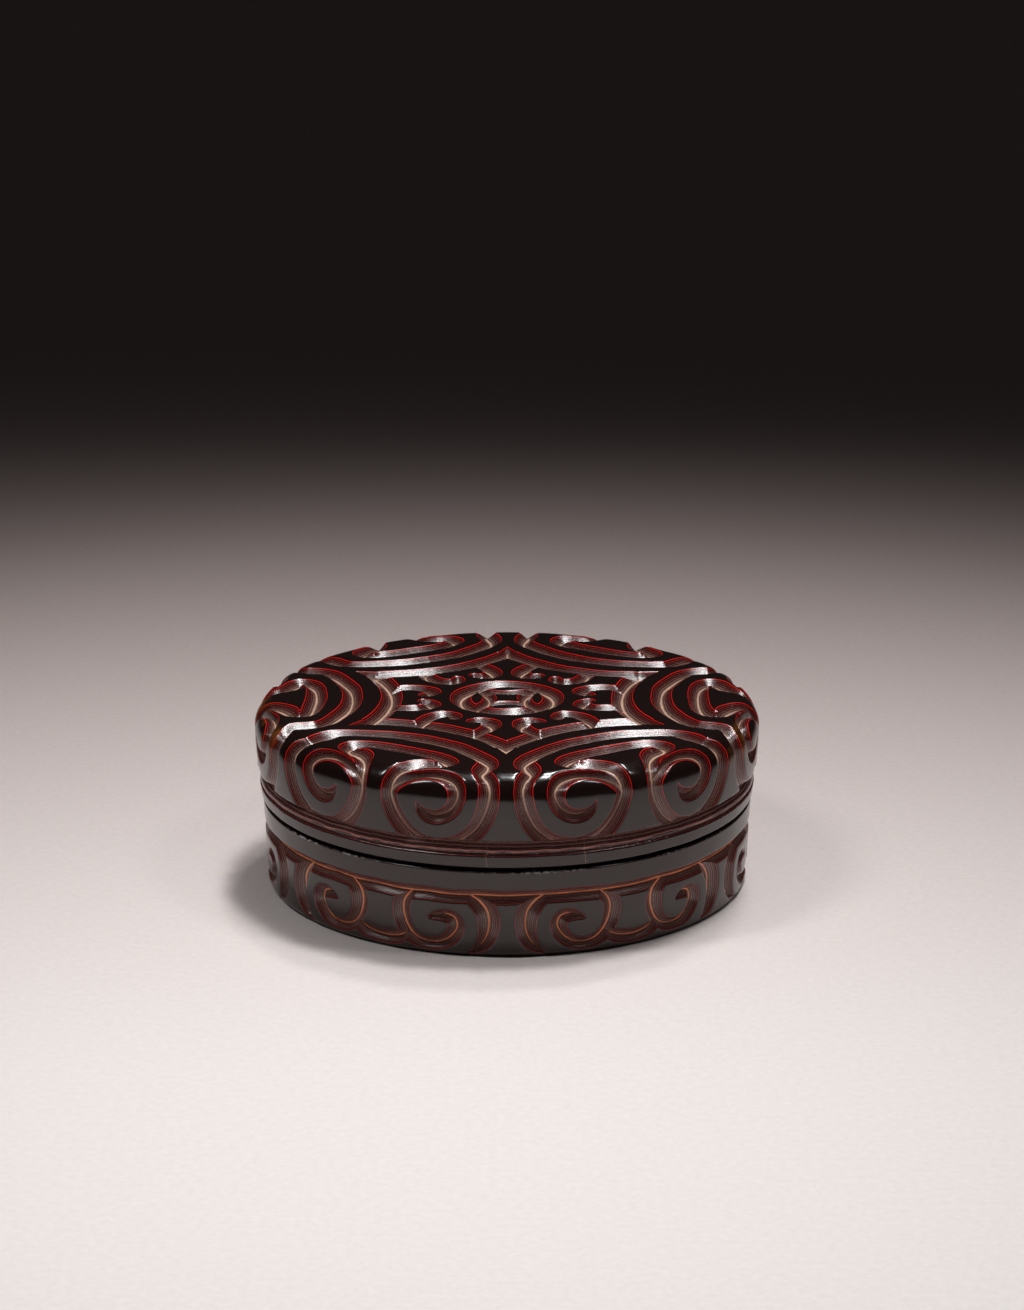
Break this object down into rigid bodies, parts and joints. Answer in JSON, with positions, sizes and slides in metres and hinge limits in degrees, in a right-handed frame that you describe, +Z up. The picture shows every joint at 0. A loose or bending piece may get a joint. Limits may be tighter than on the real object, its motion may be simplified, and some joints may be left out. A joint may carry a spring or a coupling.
{
  "type": "carved lacquer box",
  "caption": "Low round lacquer box with a lift-off cover, carved with pommel scrolls in V grooves that show red and black layers.",
  "frame": {"origin": "centre of the underside, on the surface that the box stands on", "axes": "+Z up along the box's axis, -Y towards the pictured front, where two carved heads meet"},
  "size_m": [0.08, 0.08, 0.0292],
  "materials": {
    "carved_lacquer": "polished near-black lacquer cut through to layers of red and black, with an orange-tan line at the foot of each groove",
    "black_lacquer": "plain brown-black lacquer, semi-gloss with age",
    "ramie_cloth": "coarse plain-weave ramie stiffened with raw lacquer",
    "core_wood": "thin straight-grained softwood, unfinished"
  },
  "bodies": {
    "box": {"box_carved_coat": "carved_lacquer", "box_base_coat": "black_lacquer", "box_cloth_layer": "ramie_cloth", "box_core_disc": "core_wood", "box_core_hoop": "core_wood", "box_lip_hoop": "core_wood", "box_lining": "black_lacquer"},
    "cover": {"cover_carved_coat": "carved_lacquer", "cover_cloth_layer": "ramie_cloth", "cover_core_disc": "core_wood", "cover_core_hoop": "core_wood", "cover_lining": "black_lacquer"}
  },
  "joints": [
    {"name": "cover_lift", "type": "slide", "parent": "box", "child": "cover", "axis": [0, 0, 1], "range_m": [0, 0.045]}
  ]
}
